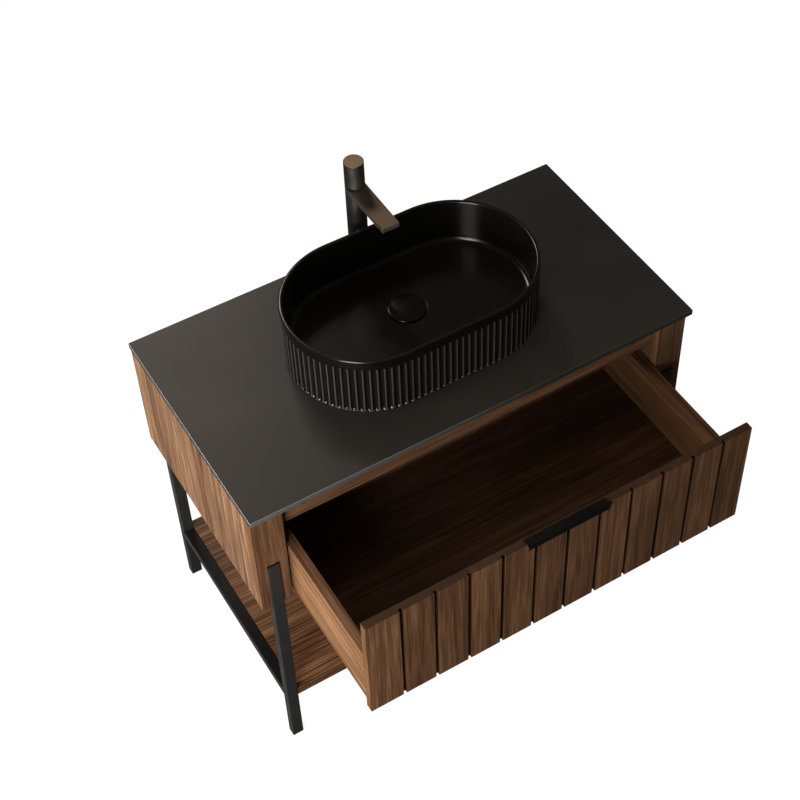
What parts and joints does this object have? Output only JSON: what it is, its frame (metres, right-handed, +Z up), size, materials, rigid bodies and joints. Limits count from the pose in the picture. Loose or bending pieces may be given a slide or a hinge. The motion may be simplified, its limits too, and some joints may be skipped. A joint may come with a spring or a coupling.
{
  "type": "vessel sink on vanity",
  "caption": "Free-standing bathroom vanity with a fluted oval vessel basin, tall mixer tap, wide slatted drawer and open lower shelf on a steel frame.",
  "frame": {"origin": "on the floor, under the middle of the box round the whole object at rest, with the drawer part way out", "axes": "+Z up, -Y the drawer's way out, +X to the right as seen from the front"},
  "size_m": [1, 0.8274, 1.056],
  "materials": {
    "top": "black sintered stone, fine matt surface",
    "walnut_side": "walnut veneer, satin, grain upright",
    "walnut_carcass": "walnut, satin",
    "walnut_shelf": "walnut, satin, grain along its length",
    "walnut_front": "walnut slats, satin, grain upright",
    "walnut_drawer": "walnut, satin",
    "beech": "plain beech",
    "black_steel": "black powder coat, fine texture",
    "black_pull": "black satin coat",
    "zinc": "zinc plated",
    "black_screw": "black oxide",
    "glide_plastic": "black nylon",
    "basin_glaze": "satin black glaze",
    "waste_black": "satin black plated brass",
    "waste_plastic": "black polypropylene",
    "seal_rubber": "black rubber",
    "bronze": "dark bronze, finely brushed",
    "brass": "bare brass",
    "cartridge_plastic": "white acetal"
  },
  "bodies": {
    "vanity": {"aerator": "cartridge_plastic", "back_panel": "walnut_carcass", "basin": "basin_glaze", "cartridge": "cartridge_plastic", "cartridge_nut": "brass", "countertop": "top", "drain_body": "waste_black", "drain_gasket": "seal_rubber", "drain_nut": "waste_plastic", "drain_spider": "waste_plastic", "drawer_bumpers": "glide_plastic", "foot_glides": "glide_plastic", "frame_bolts": "zinc", "front_stile_left": "walnut_carcass", "front_stile_right": "walnut_carcass", "leg_front_left": "black_steel", "leg_front_right": "black_steel", "leg_rear_left": "black_steel", "leg_rear_right": "black_steel", "lower_rail_left": "black_steel", "lower_rail_right": "black_steel", "lower_shelf": "walnut_shelf", "runner_panel_left": "walnut_carcass", "runner_panel_right": "walnut_carcass", "shelf_screws": "zinc", "side_panel_left": "walnut_side", "side_panel_right": "walnut_side", "slide_fixed_left": "zinc", "slide_fixed_right": "zinc", "slide_screws": "zinc", "tailpiece": "waste_plastic", "tap_body": "bronze", "tap_gasket": "seal_rubber", "tap_nut": "brass", "tap_shank": "brass", "tap_spout": "bronze", "tap_washer": "zinc", "top_front_rail": "walnut_carcass", "upper_rail_left": "black_steel", "upper_rail_right": "black_steel"},
    "drawer": {"drawer_front": "walnut_front", "drawer_side_left": "walnut_drawer", "drawer_side_right": "walnut_drawer", "drawer_back": "walnut_drawer", "drawer_bottom": "walnut_drawer", "drawer_dowels": "beech", "drawer_pull": "black_pull", "pull_screws": "black_screw", "slide_drawer_left": "zinc", "slide_drawer_right": "zinc", "drawer_slide_screws": "zinc"},
    "slide_member_left": {"slide_middle_left": "zinc"},
    "slide_member_right": {"slide_middle_right": "zinc"},
    "waste_cap": {"popup_cap": "waste_black", "popup_stem": "waste_black", "popup_seal": "seal_rubber"},
    "tap_swivel": {"cartridge_yoke": "cartridge_plastic"},
    "tap_handle": {"handle_stem": "brass", "handle_shell": "bronze", "handle_set_screw": "black_screw"}
  },
  "joints": [
    {"name": "drawer_slide", "type": "slide", "parent": "vanity", "child": "drawer", "axis": [0, -1, 0], "range_m": [-0.298, 0.102]},
    {"name": "slide_member_left_travel", "type": "slide", "parent": "vanity", "child": "slide_member_left", "axis": [0, -1, 0], "range_m": [-0.149, 0.051]},
    {"name": "slide_member_right_travel", "type": "slide", "parent": "vanity", "child": "slide_member_right", "axis": [0, -1, 0], "range_m": [-0.149, 0.051]},
    {"name": "waste_press", "type": "slide", "parent": "vanity", "child": "waste_cap", "axis": [0, 0, 1], "range_m": [0, 0.0075]},
    {"name": "tap_temperature", "type": "hinge", "parent": "vanity", "child": "tap_swivel", "pos_m": [0, 0.36025, 0.997], "axis": [0, 0, 1], "range_deg": [-45, 45]},
    {"name": "tap_flow", "type": "hinge", "parent": "tap_swivel", "child": "tap_handle", "pos_m": [0, 0.36025, 0.997], "axis": [-1, 0, 0], "range_deg": [0, 8]}
  ],
  "couplings": [
    {"joint": "slide_member_left_travel", "follows": "drawer_slide", "ratio": 0.5},
    {"joint": "slide_member_right_travel", "follows": "drawer_slide", "ratio": 0.5}
  ]
}
